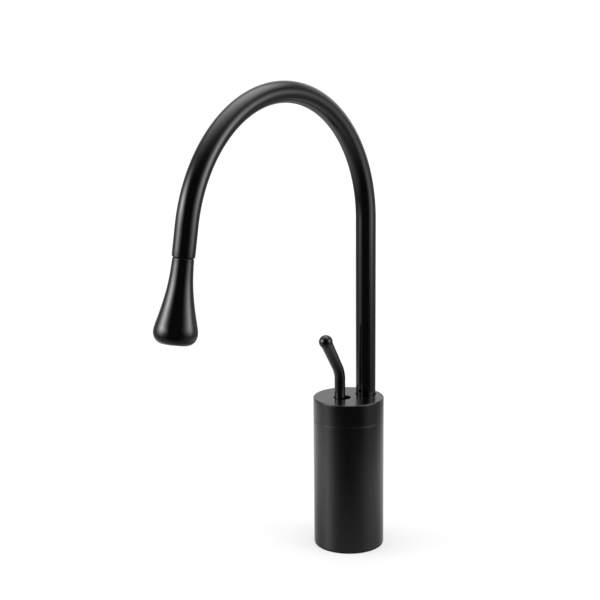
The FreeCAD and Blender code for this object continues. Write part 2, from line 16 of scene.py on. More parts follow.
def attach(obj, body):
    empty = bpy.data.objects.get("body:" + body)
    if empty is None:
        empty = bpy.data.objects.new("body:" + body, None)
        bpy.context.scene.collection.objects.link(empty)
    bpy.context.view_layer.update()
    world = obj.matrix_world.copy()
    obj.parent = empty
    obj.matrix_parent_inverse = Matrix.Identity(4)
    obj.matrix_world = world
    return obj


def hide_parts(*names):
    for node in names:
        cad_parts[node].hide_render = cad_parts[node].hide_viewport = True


bl_info = {
    "name": "Gooseneck Mixer",
    "version": (1, 0, 0),
    "blender": (4, 5, 0),
    "location": "View3D > Sidebar > Mixer",
    "description": "Builds a black gooseneck mixer with a joystick lever round its CAD frame",
    "category": "Add Mesh",
}

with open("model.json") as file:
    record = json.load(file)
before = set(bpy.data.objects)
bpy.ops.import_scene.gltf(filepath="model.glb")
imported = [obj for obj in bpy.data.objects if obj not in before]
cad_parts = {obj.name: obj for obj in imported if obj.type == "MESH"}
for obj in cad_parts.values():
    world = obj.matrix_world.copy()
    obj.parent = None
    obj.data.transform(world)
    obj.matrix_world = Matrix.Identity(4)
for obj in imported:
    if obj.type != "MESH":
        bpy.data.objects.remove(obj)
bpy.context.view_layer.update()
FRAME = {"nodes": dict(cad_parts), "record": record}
MM = 0.001
TURN = 2 * np.pi
UP = Vector((0.0, 0.0, 1.0))

# Points nearer to each other than WELD become one, and faces thinner than SLIVER go, in metres
WELD = 2e-6
SLIVER = 1e-7

# Inner walls, and the place along Y of the line that parts the cap's plate between its two holes
SLEEVE_WALL = 1.2 * MM
CAP_WALL = 2.4 * MM
CAP_PLATE = 3.0 * MM
PLATE_LINE_Y = 4.4 * MM

# The tube's outer rim at the nozzle is eased by this much, so that it catches light
RIM_EASING = 0.15 * MM

# Outline of the drop nozzle: radius and distance from the tube's end, in millimetres
NOZZLE_OUTLINE = np.array([
    (6.5, 1.2), (6.53, 3.2), (6.65, 5.6), (6.93, 10.3), (7.37, 15.0), (8.05, 19.9), (8.86, 24.5),
    (9.86, 29.3), (11.0, 34.0), (12.22, 38.8), (12.95, 41.8), (13.25, 44.3), (13.08, 46.4), (12.3, 48.5),
    (10.9, 50.3), (9.55, 51.2),
])
# Its inside from the outlet up to the top face, given the same way, and the round of the top face's edge
NOZZLE_INSIDE = np.array([
    (9.25, 51.2), (9.25, 36.0), (7.3, 36.0), (4.4, 15.0), (4.4, 10.5), (5.05, 10.5), (5.05, 0.6),
])
NOZZLE_EDGE = 0.6

# Shader values: refraction of every finish, the middle of a noise, and how softly a zone sets in
GLOSS_IOR = 1.5
NOISE_MIDDLE = 0.5
ZONE_FADE = 0.2 * MM

# Camera fitted to the photograph: focal length and picture side in pixels, and a sensor in millimetres
FOCAL_PX = 1282.3
PHOTO_PX = 600
SENSOR_MM = 36.0


# Meshes


def grid_faces(rows, columns, wrap_rows, wrap_columns, first=0):
    """Corners of the quads of a rows-by-columns grid of points, joined round where a direction wraps."""
    r = np.arange(rows if wrap_rows else rows - 1)
    c = np.arange(columns if wrap_columns else columns - 1)
    i, j = np.meshgrid(r, c, indexing="ij")
    i1, j1 = (i + 1) % rows, (j + 1) % columns
    quads = np.stack([i * columns + j, i * columns + j1, i1 * columns + j1, i1 * columns + j], axis=-1)
    return quads.reshape(-1, 4) + first


def mesh_piece(name, grids, sharp=35.0):
    """One closed piece from several grids of points, given as (points, wrap_rows, wrap_columns).

    Points that meet are welded, faces with no area go, and the normals are turned outwards.
    """
    points, faces, count = [], [], 0
    for grid, wrap_rows, wrap_columns in grids:
        rows, columns = grid.shape[:2]
        points.append(grid.reshape(-1, 3))
        faces.append(grid_faces(rows, columns, wrap_rows, wrap_columns, count))
        count += rows * columns
    mesh = bpy.data.meshes.new(name)
    mesh.from_pydata(np.concatenate(points).tolist(), [], np.concatenate(faces).tolist())
    shape = bmesh.new()
    shape.from_mesh(mesh)
    bmesh.ops.remove_doubles(shape, verts=shape.verts, dist=WELD)
    bmesh.ops.dissolve_degenerate(shape, edges=shape.edges, dist=SLIVER)
    bmesh.ops.recalc_face_normals(shape, faces=shape.faces)
    shape.to_mesh(mesh)
    shape.free()
    mesh.shade_smooth()
    mesh.set_sharp_from_angle(angle=np.radians(sharp))
    piece = bpy.data.objects.new(name, mesh)
    bpy.context.scene.collection.objects.link(piece)
    return piece


def finish_piece(piece, material, body, record_slot, *nodes):
    """Gives a piece its material, and says its body and the nodes it stands for; its slot in the record is
    not used.
    """
    piece.data.materials.clear()
    piece.data.materials.append(material)
    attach(piece, body)
    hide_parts(*nodes)


def full_turn(count):
    """Angles of a whole turn in even steps, without the last one, which is the first again."""
    return np.linspace(0, TURN, count, endpoint=False)


def circle(angles, radius, centre=(0.0, 0.0)):
    """Points on a circle: centre + radius (cos a, sin a)."""
    return np.asarray(centre) + radius * np.stack([np.cos(angles), np.sin(angles)], axis=1)


def arc(radius, z, r, start, end, count=9):
    """Points of a quarter-round or other arc in a profile: centre (radius, z), angles in degrees."""
    a = np.radians(np.linspace(start, end, count))
    return np.stack([radius + r * np.cos(a), z + r * np.sin(a)], axis=1)


def chain(*parts):
    """Joins profile points and arcs into one array of (radius, height)."""
    return np.concatenate([np.atleast_2d(np.asarray(p, float)) for p in parts])


def turned(profile, angles, centre=(0.0, 0.0)):
    """Surface of revolution: a point at radius r and height z goes to centre + r (cos a, sin a), z."""
    r, z = profile[:, :1], profile[:, 1:]
    x = centre[0] + r * np.cos(angles)
    y = centre[1] + r * np.sin(angles)
    return np.stack([x, y, z + 0 * x], axis=-1)


def natural_spline(knots, values, at):
    """Cubic spline through the values at the knots, with no bending at its ends, read at the given places."""
    h = np.diff(knots)
    n = len(knots)
    system = np.eye(n)
    rows = np.arange(1, n - 1)
    system[rows, rows - 1] = h[:-1]
    system[rows, rows] = 2 * (h[:-1] + h[1:])
    system[rows, rows + 1] = h[1:]
    slope = np.diff(values, axis=0) / h[:, None]
    right = np.zeros_like(values)
    right[1:-1] = 6 * np.diff(slope, axis=0)
    bend = np.linalg.solve(system, right)
    k = np.clip(np.searchsorted(knots, at) - 1, 0, n - 2)
    t = (at - knots[k])[:, None]
    hk = h[k][:, None]
    first = slope[k] - hk * (2 * bend[k] + bend[k + 1]) / 6
    return values[k] + t * first + t**2 * bend[k] / 2 + t**3 * (bend[k + 1] - bend[k]) / (6 * hk)


def carried(centres, normals, across, radii, count=96):
    """Round section carried along a path in a plane: centre + r (cos a * normal + sin a * across)."""
    a = full_turn(count)
    ring = np.cos(a)[None, :, None] * normals[:, None, :] + np.sin(a)[None, :, None] * across
    return centres[:, None, :] + radii[:, None, None] * ring


# Sizes and colours


def size_mm(name, default, description):
    """Property for a length, given in millimetres."""
    return bpy.props.FloatProperty(
        name=name, description=description, default=default * MM, unit="LENGTH", subtype="DISTANCE"
    )


def angle_deg(name, default, description):
    """Property for an angle, given in degrees."""
    return bpy.props.FloatProperty(
        name=name, description=description, default=np.radians(default), subtype="ANGLE"
    )


def paint(name, default, description):
    """Property for an opaque colour."""
    return bpy.props.FloatVectorProperty(
        name=name, description=description, default=(*default, 1.0), size=4, min=0, max=1, subtype="COLOR"
    )


class MixerColumn(bpy.types.PropertyGroup):
    """Sizes of the round column and its cap."""

    radius: size_mm("Radius", 25.0, "Outer radius of the column")
    foot: size_mm("Foot", 1.0, "Height at which the sleeve stands on its gasket")
    joint: size_mm("Joint", 92.8, "Height of the line between sleeve and cap")
    top: size_mm("Top", 108.8, "Height of the flat top")
    edge: size_mm("Top edge", 0.7, "Radius of the cap's upper edge")
    line: size_mm("Joint break", 0.3, "Edge break that draws the joint line")
    lip: size_mm("Hole break", 0.15, "Edge break of the two holes")
    lever_hole: size_mm("Lever hole", 6.17, "Radius of the lever's hole")
    lever_hole_y: size_mm("Lever hole place", -5.3, "Centre of the lever's hole along Y")
    riser_hole: size_mm("Riser hole", 7.55, "Radius of the riser's hole")


class MixerLever(bpy.types.PropertyGroup):
    """Sizes of the joystick lever."""

    radius: size_mm("Foot radius", 3.8, "Radius of the upright foot")
    axis_y: size_mm("Axis", -7.1, "Place of the lever's axis along Y")
    bottom: size_mm("Bottom", 101.5, "Height of the lever's lower end inside the cap")
    bend_z: size_mm("Bend height", 127.4, "Height at which the two straight lines would meet")
    bend_radius: size_mm("Bend radius", 22.0, "Radius of the bend's centre line")
    end_radius: size_mm("End radius", 4.25, "Radius of the tapered arm at the ball's centre")
    tip_y: size_mm("Ball place", -18.47, "Centre of the ball along Y")
    tip_z: size_mm("Ball height", 150.86, "Height of the ball's centre")
    tip_radius: size_mm("Ball radius", 4.85, "Radius of the ball")


class MixerSpout(bpy.types.PropertyGroup):
    """Sizes of the swivelling spout."""

    riser_y: size_mm("Riser place", 14.4, "Place of the riser along Y")
    radius: size_mm("Tube radius", 7.0, "Outer radius of the tube")
    wall: size_mm("Tube wall", 1.0, "Wall of the tube")
    bottom: size_mm("Bottom", 96.0, "Height of the tube's lower end inside the cap")
    arch_z: size_mm("Arch height", 234.6, "Height at which the arch starts")
    arch_radius: size_mm("Arch radius", 91.2, "Radius of the arch's centre line")
    tail: size_mm("Tail", 18.5, "Straight length between arch and nozzle")
    sweep: angle_deg("Sweep", 169.1, "Angle of the arch")
    turn: angle_deg("Turn", 22.3, "Spout's angle from the front")


class MixerFinish(bpy.types.PropertyGroup):
    """Colours of the finishes."""

    lacquer: paint("Lacquer", (0.0006, 0.0006, 0.0006), "Black coating of the spout and the nozzle")
    column_lacquer: paint("Column lacquer", (0.0012, 0.0012, 0.0012), "Black coating of column and lever")
    brass: paint("Brass", (0.55, 0.38, 0.16), "Machined brass inside")
    steel: paint("Steel", (0.45, 0.45, 0.46), "Zinc-plated screws and pins")
    rubber: paint("Rubber", (0.004, 0.004, 0.004), "Gaskets and rings")
    pale_plastic: paint("Pale plastic", (0.66, 0.66, 0.63), "Moulded inner pieces")
    grey_plastic: paint("Grey plastic", (0.17, 0.18, 0.19), "Moulded sliding pieces")
    dark_plastic: paint("Dark plastic", (0.012, 0.012, 0.013), "Moulded dark pieces")
    ceramic: paint("Ceramic", (0.75, 0.75, 0.72), "Lapped discs")


# Shader nodes


def feed(tree, value, socket):
    """Puts a value on a socket: another node's output is linked, and a number or colour is set."""
    if isinstance(value, bpy.types.NodeSocket):
        tree.links.new(value, socket)
    else:
        socket.default_value = value


def math_node(tree, operation, *values):
    """Result of one operation on numbers and sockets."""
    node = tree.nodes.new("ShaderNodeMath")
    node.operation = operation
    for value, socket in zip(values, node.inputs):
        feed(tree, value, socket)
    return node.outputs[0]


def scaled(tree, color, factor):
    """Colour multiplied by a socket's number."""
    node = tree.nodes.new("ShaderNodeVectorMath")
    node.operation = "SCALE"
    tree.links.new(color, node.inputs[0])
    tree.links.new(factor, node.inputs["Scale"])
    return node.outputs[0]


def measured(tree, operation, place, other=None):
    """Length, distance or dot product of a place in the shader, as one number."""
    node = tree.nodes.new("ShaderNodeVectorMath")
    node.operation = operation
    tree.links.new(place, node.inputs[0])
    if other is not None:
        node.inputs[1].default_value = other
    return node.outputs["Value"]


def ramp(tree, value, span, levels):
    """Smooth step of a value: from the first level at the span's start to the second at its end."""
    node = tree.nodes.new("ShaderNodeMapRange")
    node.interpolation_type = "SMOOTHSTEP"
    tree.links.new(value, node.inputs["Value"])
    for label, number in zip(("From Min", "From Max", "To Min", "To Max"), (*span, *levels)):
        node.inputs[label].default_value = number
    return node.outputs["Result"]


def noise(tree, place, scale, detail):
    """Noise at a place in the shader; its scale is a number or a socket."""
    node = tree.nodes.new("ShaderNodeTexNoise")
    tree.links.new(place, node.inputs["Vector"])
    feed(tree, scale, node.inputs["Scale"])
    node.inputs["Detail"].default_value = detail
    return node.outputs["Fac"]


def coordinates(tree, kind="Object"):
    """Place in the shader, counted from the piece's own origin unless another kind is named."""
    return tree.nodes.new("ShaderNodeTexCoord").outputs[kind]


def added(tree, first, second):
    """Sum of two shaders."""
    node = tree.nodes.new("ShaderNodeAddShader")
    tree.links.new(first, node.inputs[0])
    tree.links.new(second, node.inputs[1])
    return node.outputs[0]


def blend(tree, factor, first, second):
    """Mix of two shaders by a socket: 0 gives the first, 1 the second."""
    node = tree.nodes.new("ShaderNodeMixShader")
    tree.links.new(factor, node.inputs[0])
    tree.links.new(first, node.inputs[1])
    tree.links.new(second, node.inputs[2])
    return node.outputs[0]


# Shader groups and materials


def new_group(name, **values):
    """Shader node group that takes a colour and the named values, and gives colour, roughness and normal."""
    group = bpy.data.node_groups.new(name, "ShaderNodeTree")
    group.interface.new_socket(name="Color", in_out="INPUT", socket_type="NodeSocketColor")
    for label, default in values.items():
        socket = group.interface.new_socket(
            name=label.replace("_", " "), in_out="INPUT", socket_type="NodeSocketFloat"
        )
        socket.default_value = default
    for label, kind in (("Color", "Color"), ("Roughness", "Float"), ("Normal", "Vector")):
        group.interface.new_socket(name=label, in_out="OUTPUT", socket_type=f"NodeSocket{kind}")
    source = group.nodes.new("NodeGroupInput")
    return group, source.outputs


def end_group(group, source, normal, swing, spread, mottle):
    """Ends a group: a swing round zero, times the spread and the mottle, moves roughness and tone."""
    rough = math_node(group, "ADD", math_node(group, "MULTIPLY", swing, spread), source["Roughness"])
    tone = math_node(group, "ADD", math_node(group, "MULTIPLY", swing, mottle), 1.0)
    sink = group.nodes.new("NodeGroupOutput")
    group.links.new(scaled(group, source["Color"], tone), sink.inputs["Color"])
    group.links.new(rough, sink.inputs["Roughness"])
    group.links.new(normal, sink.inputs["Normal"])
    return group


def bumped(tree, height, strength, distance):
    """Normal of a surface whose height changes by up to a distance in metres."""
    node = tree.nodes.new("ShaderNodeBump")
    node.inputs["Distance"].default_value = distance
    tree.links.new(strength, node.inputs["Strength"])
    tree.links.new(height, node.inputs["Height"])
    return node.outputs["Normal"]


def coating_group():
    """Sprayed or moulded skin: fine orange peel for the normal, cloudy roughness, slightly uneven tone."""
    name = "coating"
    if name in bpy.data.node_groups:
        return bpy.data.node_groups[name]
    group, source = new_group(name, Roughness=0.2, Cloud=0.03, Peel_Scale=900.0, Peel=0.02, Mottle=0.1)
    place = coordinates(group)
    peel = noise(group, place, source["Peel Scale"], detail=3.0)
    normal = bumped(group, peel, source["Peel"], distance=0.2 * MM)
    swing = math_node(group, "SUBTRACT", noise(group, place, 45.0, detail=4.0), NOISE_MIDDLE)
    return end_group(group, source, normal, swing, source["Cloud"], source["Mottle"])


def machining_group():
    """Turned metal: fine rings round the upright axis for the normal, and streaky roughness along them."""
    name = "machining"
    if name in bpy.data.node_groups:
        return bpy.data.node_groups[name]
    group, source = new_group(name, Roughness=0.3, Streaks=0.15, Groove=0.1)
    # squeezed along the upright axis, the noise lies in thin level rings
    squeeze = group.nodes.new("ShaderNodeMapping")
    squeeze.inputs["Scale"].default_value = (40.0, 40.0, 2500.0)
    group.links.new(coordinates(group), squeeze.inputs["Vector"])
    streak = noise(group, squeeze.outputs[0], 1.0, detail=3.0)
    normal = bumped(group, streak, source["Groove"], distance=0.1 * MM)
    swing = math_node(group, "SUBTRACT", streak, NOISE_MIDDLE)
    return end_group(group, source, normal, swing, source["Streaks"], mottle=0.25)


class Zone(NamedTuple):
    """Part of a piece beyond a plane, which is duller there, with its colour multiplied by the tone; a tone
    above 1 is a painted sheen there.

    With a reach, the change is strongest at the plane and fades out over that distance.
    """

    direction: Vector
    place: float
    extra_roughness: float
    tone: float
    reach: float = 0.0


def new_material(name, group, color, metallic=0.0, specular=0.5, zone=None, **values):
    """Principled material whose colour, roughness and normal come from a shared group."""
    if name in bpy.data.materials:
        return bpy.data.materials[name]
    material = bpy.data.materials.new(name)
    material.use_nodes = True
    tree = material.node_tree
    shader = tree.nodes["Principled BSDF"]
    shader.inputs["Metallic"].default_value = metallic
    shader.inputs["IOR"].default_value = GLOSS_IOR
    shader.inputs["Specular IOR Level"].default_value = specular
    skin = tree.nodes.new("ShaderNodeGroup")
    skin.node_tree = group
    skin.inputs["Color"].default_value = tuple(color)
    for label, value in values.items():
        skin.inputs[label.replace("_", " ")].default_value = value
    rough, tint = skin.outputs["Roughness"], skin.outputs["Color"]
    if zone:
        beyond = measured(tree, "DOT_PRODUCT", coordinates(tree), zone.direction)
        share = ramp(tree, beyond, (zone.place - ZONE_FADE, zone.place), (0.0, 1.0))
        if zone.reach:
            fading = ramp(tree, beyond, (zone.place, zone.place + zone.reach), (1.0, 0.0))
            share = math_node(tree, "MULTIPLY", share, fading)
        rough = math_node(tree, "ADD", rough, math_node(tree, "MULTIPLY", share, zone.extra_roughness))
        # on the lever's arm this tone is a painted sheen: the colour is made paler near the ball
        level = math_node(tree, "ADD", math_node(tree, "MULTIPLY", share, zone.tone - 1.0), 1.0)
        tint = scaled(tree, tint, level)
    tree.links.new(tint, shader.inputs["Base Color"])
    tree.links.new(rough, shader.inputs["Roughness"])
    tree.links.new(skin.outputs["Normal"], shader.inputs["Normal"])
    return material


def cap_zone():
    """The cap's flat top, which is a little duller than its wall."""
    return Zone(UP, bpy.context.scene.mixer_column.top, extra_roughness=0.1, tone=1.0)


def arm_painted_sheen_zone():
    """The lever's arm: satin where it meets the glossy ball, with a painted sheen that makes it paler there,
    and glossy again at its bend.
    """
    v = bpy.context.scene.mixer_lever
    down_arm = Vector((0.0, v.axis_y - v.tip_y, v.bend_z - v.tip_z)).normalized()
    ball = Vector((0.0, v.tip_y, v.tip_z))
    neck = np.sqrt(v.tip_radius**2 - v.end_radius**2)
    # tone 28 paints the sheen: the arm is drawn 28 times paler next to the ball, fading out over the reach
    return Zone(down_arm, down_arm.dot(ball) + neck, extra_roughness=0.13, tone=28.0, reach=26.0 * MM)


def finishes():
    """All finishes by the record's slot names.

    Besides them, black_column and black_cap are for two pieces whose slot is black_satin.
    """
    f = bpy.context.scene.mixer_finish
    coat, turned_metal = coating_group(), machining_group()
    column = {"specular": 0.58, "Roughness": 0.13, "Cloud": 0.03, "Peel": 0.02}
    moulded = {"Cloud": 0.08, "Peel_Scale": 1800.0, "Peel": 0.06}
    return {
        "black_satin": new_material("black lacquer", coat, f.lacquer, Roughness=0.1, Cloud=0.03, Peel=0.02),
        "black_column": new_material("black lacquer column", coat, f.column_lacquer, **column),
        "black_cap": new_material("black lacquer cap", coat, f.column_lacquer, zone=cap_zone(), **column),
        "black_gloss": new_material(
            "black lacquer lever", coat, f.column_lacquer, zone=arm_painted_sheen_zone(),
            Roughness=0.07, Cloud=0.02, Peel=0.015,
        ),
        "brass": new_material("turned brass", turned_metal, f.brass, metallic=1.0, Roughness=0.3),
        "steel": new_material("plated steel", turned_metal, f.steel, metallic=1.0, Roughness=0.35),
        "rubber_black": new_material(
            "rubber", coat, f.rubber, specular=0.15, Roughness=0.6, Cloud=0.1, Peel_Scale=2500.0, Peel=0.15
        ),
        "plastic_white": new_material("pale moulding", coat, f.pale_plastic, Roughness=0.45, **moulded),
        "plastic_grey": new_material("grey moulding", coat, f.grey_plastic, Roughness=0.4, **moulded),
        "plastic_black": new_material("dark moulding", coat, f.dark_plastic, Roughness=0.4, **moulded),
        "ceramic_white": new_material(
            "lapped ceramic", coat, f.ceramic, Roughness=0.12, Cloud=0.03, Peel=0.01
        ),
    }


# Pieces


class MIXER_OT_column(bpy.types.Operator):
    """Builds the black sleeve of the column, a turned ring with small edge breaks"""

    bl_idname = "mixer.column"
    bl_label = "Build the column"

    def execute(self, context):
        c = context.scene.mixer_column
        inner_r = c.radius - SLEEVE_WALL
        # the two points beside the breaks keep the shading of the straight wall straight
        profile = chain(
            arc(c.radius - c.line, c.foot + c.line, c.line, -90, 0, 5),
            (c.radius, c.foot + 2 * c.line),
            (c.radius, c.joint - 2 * c.line),
            arc(c.radius - c.line, c.joint - c.line, c.line, 0, 90, 5),
            (inner_r, c.joint),
            (inner_r, c.foot),
        )
        piece = mesh_piece("column_sleeve", [(turned(profile, full_turn(256)), True, True)])
        finish_piece(piece, finishes()["black_column"], "column", "black_satin", "body_sleeve")
        return {"FINISHED"}


class MIXER_OT_cap(bpy.types.Operator):
    """Builds the cap: turned wall and edge, and a flat plate with the riser's hole and the lever's hole"""

    bl_idname = "mixer.cap"
    bl_label = "Build the cap"

    def execute(self, context):
        c = context.scene.mixer_column
        s = context.scene.mixer_spout
        flat_r = c.radius - c.edge
        inner_r = c.radius - CAP_WALL
        under = c.top - CAP_PLATE
        split = np.arcsin(PLATE_LINE_Y / flat_r)
        back = np.linspace(split, np.pi - split, 129)
        front = np.linspace(np.pi - split, TURN + split, 161)
        around = np.concatenate([back[:-1], front[:-1]])
        profile = chain(
            arc(flat_r, c.top - c.edge, c.edge, 90, 0, 9),
            (c.radius, c.top - 2 * c.edge),
            (c.radius, c.joint + 2 * c.line),
            arc(c.radius - c.line, c.joint + c.line, c.line, 0, -90, 5),
            (inner_r, c.joint),
            (inner_r, under),
        )
        grids = [(turned(profile, around), False, True)]
        lip = c.lip
        holes = (
            (back, np.array([0.0, s.riser_y]), c.riser_hole),
            (front, np.array([0.0, c.lever_hole_y]), c.lever_hole),
        )
        for angles, centre, hole_r in holes:
            top_edge = self.boundary(angles, flat_r)
            from_hole = top_edge - centre
            a = np.arctan2(from_hole[:, 1], from_hole[:, 0])
            # above, below and the hole's own wall
            parts = (
                self.plate(top_edge, a, centre, hole_r + lip, c.top),
                self.plate(self.boundary(angles, inner_r), a, centre, hole_r, under),
                turned(chain(arc(hole_r + lip, c.top - lip, lip, 90, 180, 5), (hole_r, under)), a, centre),
            )
            grids += [(grid, False, True) for grid in parts]
        piece = mesh_piece("top_cap_shell", grids)
        finish_piece(piece, finishes()["black_cap"], "column", "black_satin", "top_cap")
        return {"FINISHED"}

    @staticmethod
    def boundary(angles, radius):
        """Closed outline of one part of the disc: its arc, then the straight chord back to the start."""
        rim = circle(angles, radius)
        t = np.linspace(0, 1, 33)[1:-1, None]
        return np.concatenate([rim, rim[-1] + t * (rim[0] - rim[-1])])

    @staticmethod
    def plate(edge, a, centre, hole_r, z):
        """Flat surface between a hole's circle and an outline: (1 - t) * circle + t * outline."""
        # rows close to both edges keep the shading of the plate flat
        close_rows = (0.02, 0.98)
        t = np.sort(np.append(np.linspace(0, 1, 9) ** 1.5, close_rows))[:, None, None]
        flat = (1 - t) * circle(a, hole_r, centre) + t * edge
        return np.concatenate([flat, np.full(flat.shape[:2] + (1,), z)], axis=2)


class MIXER_OT_lever(bpy.types.Operator):
    """Builds the lever: a round section carried up, round a bend, along a tapered arm and over a ball"""

    bl_idname = "mixer.lever"
    bl_label = "Build the lever"

    def execute(self, context):
        v = context.scene.mixer_lever
        rise, reach = v.tip_z - v.bend_z, v.axis_y - v.tip_y
        lean = np.arctan2(reach, rise)
        half = v.bend_radius * np.tan(lean / 2)
        arm = np.hypot(rise, reach) - half
        # the cone meets the ball where both have one radius: d^2 + (end - taper d)^2 = ball^2
        taper = (v.end_radius - v.radius) / arm
        room = (taper * v.end_radius) ** 2 + (1 + taper**2) * (v.tip_radius**2 - v.end_radius**2)
        neck = (taper * v.end_radius + np.sqrt(room)) / (1 + taper**2)
        swing = np.linspace(0, lean, 17)
        start_z = v.bend_z - half
        foot_z = np.linspace(v.bottom, start_z, 6)[:-1]
        along = np.linspace(0, arm - neck, 25)[1:]
        over = np.linspace(-np.arcsin(neck / v.tip_radius), np.pi / 2, 41)[1:]
        past = arm + v.tip_radius * np.sin(over)
        # distance forward (toward -Y), height, lean of the section and its radius, station by station
        run = half + np.concatenate([along, past])
        forward = np.concatenate([0 * foot_z, v.bend_radius * (1 - np.cos(swing)), run * np.sin(lean)])
        bent_z = start_z + v.bend_radius * np.sin(swing)
        height = np.concatenate([foot_z, bent_z, v.bend_z + run * np.cos(lean)])
        angle = np.concatenate([0 * foot_z, swing, lean + 0 * run])
        radii = np.concatenate([
            v.radius + 0 * foot_z,
            v.radius + 0 * swing,
            v.radius + taper * along,
            v.tip_radius * np.cos(over),
        ])
        centres = np.stack([0 * forward, v.axis_y - forward, height], axis=1)
        normals = np.stack([0 * angle, np.cos(angle), np.sin(angle)], axis=1)
        across = np.array([1.0, 0.0, 0.0])
        # the lower end is closed by a first station of no radius
        centres = np.concatenate([centres[:1], centres])
        normals = np.concatenate([normals[:1], normals])
        radii = np.concatenate([[0.0], radii])
        surface = carried(centres, normals, across, radii, count=72)
        piece = mesh_piece("lever_arm", [(surface, False, True)], sharp=12)
        finish_piece(piece, finishes()["black_gloss"], "lever", "black_gloss", "lever_rod")
        return {"FINISHED"}


def spout_direction(s, u, z):
    """Directions given along the spout's plane and up, turned into the frame's axes."""
    return np.stack([u * np.sin(s.turn), -u * np.cos(s.turn), z], axis=-1)


def spout_point(s, u, z):
    """Points given by their distance from the riser's axis and their height, in the frame's axes."""
    return spout_direction(s, u, z) + np.array([0.0, s.riser_y, 0.0])


def across_spout(s):
    """Direction square to the spout's plane."""
    return np.array([np.cos(s.turn), np.sin(s.turn), 0.0])


def arch_point(s, angle):
    """Distance from the riser's axis, R (1 - cos a), and height, z + R sin a, on the arch's centre line."""
    return s.arch_radius * (1 - np.cos(angle)), s.arch_z + s.arch_radius * np.sin(angle)


def spout_path(s):
    """Centre line of the spout and its normals: straight up, round the arch, and straight on as the tail."""
    riser = np.linspace(s.bottom, s.arch_z, 12)[:-1]
    swing = np.linspace(0, s.sweep, 161)
    tail = np.linspace(0, s.tail, 9)[1:]
    arch_u, arch_z = arch_point(s, swing)
    end_u, end_z = arch_point(s, s.sweep)
    u = np.concatenate([0 * riser, arch_u, end_u + tail * np.sin(s.sweep)])
    z = np.concatenate([riser, arch_z, end_z + tail * np.cos(s.sweep)])
    angle = np.concatenate([0 * riser, swing, s.sweep + 0 * tail])
    return spout_point(s, u, z), spout_direction(s, np.cos(angle), -np.sin(angle))


def on_tail(s, profile, count=128):
    """Surface of revolution about the tail's line: radius, and distance downstream of the tube's end."""
    arch_u, arch_z = arch_point(s, s.sweep)
    end_u = arch_u + s.tail * np.sin(s.sweep)
    end_z = arch_z + s.tail * np.cos(s.sweep)
    radii, along = profile.T
    centres = spout_point(s, end_u + along * np.sin(s.sweep), end_z + along * np.cos(s.sweep))
    level = 0 * along
    normals = spout_direction(s, level + np.cos(s.sweep), level - np.sin(s.sweep))
    return carried(centres, normals, across_spout(s), radii, count)


class MIXER_OT_spout(bpy.types.Operator):
    """Builds the tube: a ring section carried up the riser, round the arch and down the tail"""

    bl_idname = "mixer.spout"
    bl_label = "Build the spout tube"

    def execute(self, context):
        s = context.scene.mixer_spout
        centres, normals = spout_path(s)
        # out along the outer wall, and back along the bore
        stations = np.arange(len(centres))
        order = np.concatenate([stations, stations[::-1]])
        radii = np.concatenate([0 * stations + s.radius, 0 * stations + s.radius - s.wall])
        radii[len(stations) - 1] -= RIM_EASING
        surface = carried(centres[order], normals[order], across_spout(s), radii)
        piece = mesh_piece("spout_arch", [(surface, True, True)], sharp=50)
        finish_piece(piece, finishes()["black_satin"], "spout", "black_satin", "spout_tube")
        return {"FINISHED"}


class MIXER_OT_nozzle(bpy.types.Operator):
    """Builds the drop nozzle: a smooth outline through given points, turned about the tail's line"""

    bl_idname = "mixer.nozzle"
    bl_label = "Build the nozzle"

    def execute(self, context):
        s = context.scene.mixer_spout
        outline = NOZZLE_OUTLINE * MM
        run = np.concatenate([[0], np.cumsum(np.hypot(*np.diff(outline, axis=0).T))])
        side = natural_spline(run, outline, np.linspace(0, run[-1], 121))
        edge = NOZZLE_EDGE * MM
        upper_edge = arc(outline[0, 0] - edge, outline[0, 1], edge, -90, 0)[:-1]
        profile = chain(upper_edge, side, NOZZLE_INSIDE * MM)
        piece = mesh_piece("nozzle_drop", [(on_tail(s, profile), True, True)], sharp=40)
        finish_piece(piece, finishes()["black_satin"], "spout", "black_satin", "nozzle_shell")
        return {"FINISHED"}


class MIXER_OT_inner(bpy.types.Operator):
    """Gives each of the frame's own pieces its finish"""

    bl_idname = "mixer.inner"
    bl_label = "Finish the inner pieces"

    def execute(self, context):
        by_slot = finishes()
        for part in FRAME["record"]["subparts"]:
            node = FRAME["nodes"][part["node"]]
            node.data.materials.clear()
            node.data.materials.append(by_slot[part["material_slot"]])
        return {"FINISHED"}


# Stage


def empty_tree(data, output):
    """Node tree of a material or world with nothing in it but its output, and that output's Surface."""
    data.use_nodes = True
    data.node_tree.nodes.clear()
    return data.node_tree, data.node_tree.nodes.new(output).inputs["Surface"]


def is_ray(tree, kind):
    """1 where the light path is a Camera or Glossy ray, else 0."""
    return tree.nodes.new("ShaderNodeLightPath").outputs[f"Is {kind} Ray"]


def ray_glow(tree, kind, strength):
    """Emission that only one kind of ray sees; strength is a number or a socket."""
    glow = tree.nodes.new("ShaderNodeEmission")
    tree.links.new(math_node(tree, "MULTIPLY", is_ray(tree, kind), strength), glow.inputs["Strength"])
    return glow.outputs[0]


def see_through(tree):
    """Shader of a surface that doesn't show."""
    return tree.nodes.new("ShaderNodeBsdfTransparent").outputs[0]


def background(tree, strength):
    """White world of a strength given as a number or a socket."""
    node = tree.nodes.new("ShaderNodeBackground")
    node.inputs["Color"].default_value = (1, 1, 1, 1)
    feed(tree, strength, node.inputs["Strength"])
    return node.outputs[0]


